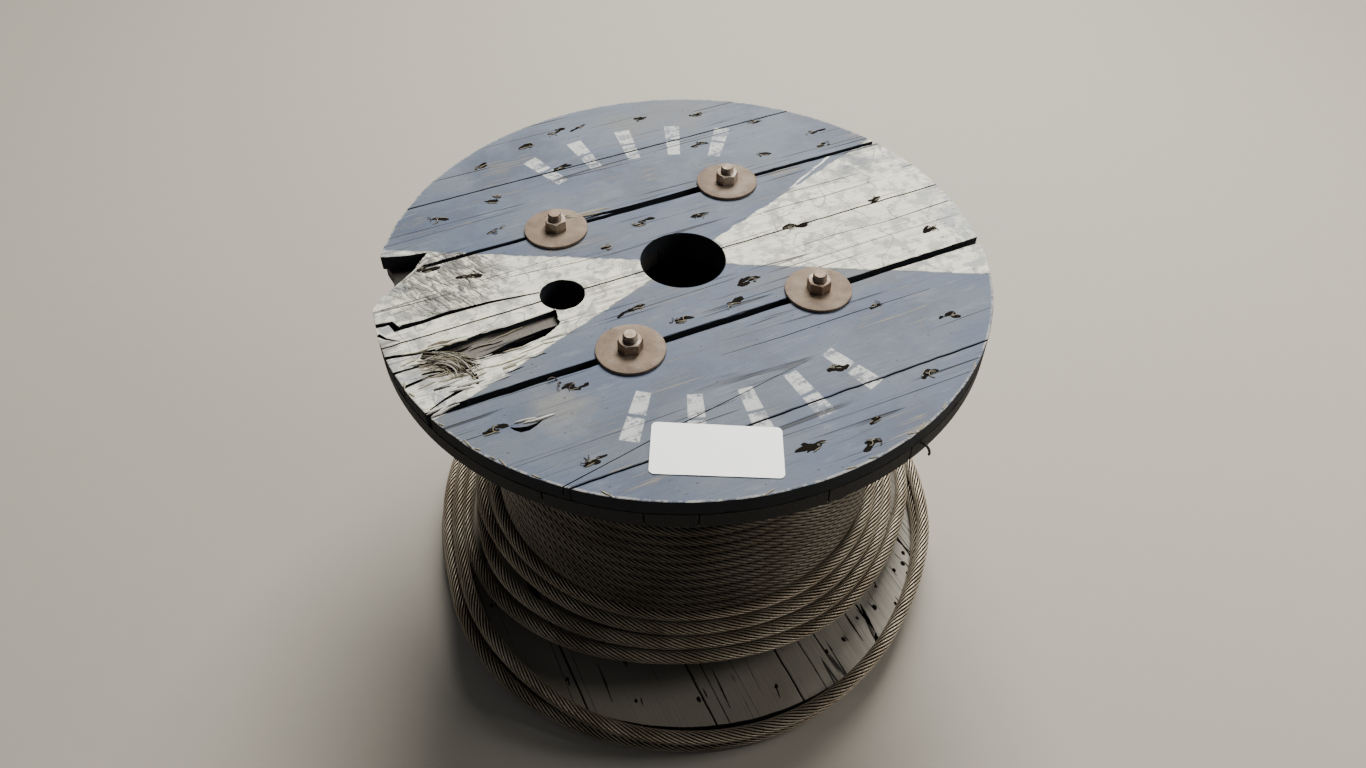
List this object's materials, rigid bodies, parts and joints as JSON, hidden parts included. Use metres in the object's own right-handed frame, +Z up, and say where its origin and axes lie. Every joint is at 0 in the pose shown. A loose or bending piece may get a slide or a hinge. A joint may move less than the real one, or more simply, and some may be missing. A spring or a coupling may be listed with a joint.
{
  "type": "wooden cable drum with wire rope",
  "caption": "Wooden cable drum standing on one flange, with wire rope wound on its barrel and loose turns fallen about its lower flange.",
  "frame": {"origin": "on the ground under the middle of the drum, on the axis of its arbor bore", "axes": "+Z up along the drum's axis, -Y towards the picture's camera, +X to its right"},
  "size_m": [0.7501, 0.7496, 0.523],
  "materials": {
    "painted_boards": "worn blue-grey paint over weathered softwood",
    "bare_boards": "bare weathered softwood",
    "staves": "bare softwood",
    "washers": "plate steel, browned by rust",
    "bolts": "rusty steel",
    "wire_rope": "oiled and dusty wire rope"
  },
  "bodies": {
    "root": {"barrel_staves": "staves", "bottom_inner_board_1": "bare_boards", "bottom_inner_board_2": "bare_boards", "bottom_inner_board_3": "bare_boards", "bottom_inner_board_4": "bare_boards", "bottom_inner_board_5": "bare_boards", "bottom_inner_board_6": "bare_boards", "bottom_outer_board_1": "bare_boards", "bottom_outer_board_2": "bare_boards", "bottom_outer_board_3": "bare_boards", "bottom_outer_board_4": "bare_boards", "bottom_outer_board_5": "bare_boards", "bottom_outer_board_6": "bare_boards", "bottom_washer_1": "washers", "bottom_washer_2": "washers", "bottom_washer_3": "washers", "bottom_washer_4": "washers", "loose_turn_1": "wire_rope", "loose_turn_2": "wire_rope", "loose_turn_3": "wire_rope", "loose_turn_4": "wire_rope", "loose_turn_5": "wire_rope", "loose_turn_6": "wire_rope", "nut_1": "bolts", "nut_2": "bolts", "nut_3": "bolts", "nut_4": "bolts", "tie_bolt_1": "bolts", "tie_bolt_2": "bolts", "tie_bolt_3": "bolts", "tie_bolt_4": "bolts", "top_inner_board_1": "bare_boards", "top_inner_board_2": "bare_boards", "top_inner_board_3": "bare_boards", "top_inner_board_4": "bare_boards", "top_inner_board_5": "bare_boards", "top_inner_board_6": "bare_boards", "top_inner_board_7": "bare_boards", "top_outer_board_1": "painted_boards", "top_outer_board_2": "painted_boards", "top_outer_board_3": "painted_boards", "top_outer_board_4": "painted_boards", "top_outer_board_5": "painted_boards", "top_outer_board_6": "painted_boards", "top_washer_1": "washers", "top_washer_2": "washers", "top_washer_3": "washers", "top_washer_4": "washers", "wound_rope": "wire_rope"}
  },
  "joints": []
}
